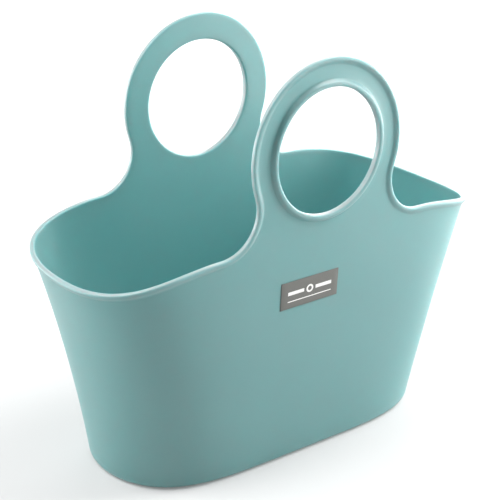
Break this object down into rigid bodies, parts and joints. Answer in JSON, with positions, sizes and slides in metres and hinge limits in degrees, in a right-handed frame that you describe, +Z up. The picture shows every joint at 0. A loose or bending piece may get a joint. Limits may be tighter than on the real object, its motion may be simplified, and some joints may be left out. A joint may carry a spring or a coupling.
{
  "type": "handled storage tote",
  "caption": "Soft moulded bath tote with flared walls and a round ring handle rising from each long side, for carrying and storing shower things.",
  "frame": {"origin": "middle of the flat base, on the surface that the tote stands on", "axes": "+Z up, X along the long side of the tote, -Y out of the wall that carries the label"},
  "size_m": [0.3412, 0.1564, 0.302],
  "materials": {
    "shell_plastic": "satin moulded polyethylene, pale teal",
    "label_film": "matt printed film, warm grey",
    "mark_ink": "matt white ink"
  },
  "bodies": {
    "root": {"tote_shell": "shell_plastic", "face_label": "label_film", "label_mark": "mark_ink"}
  },
  "joints": []
}
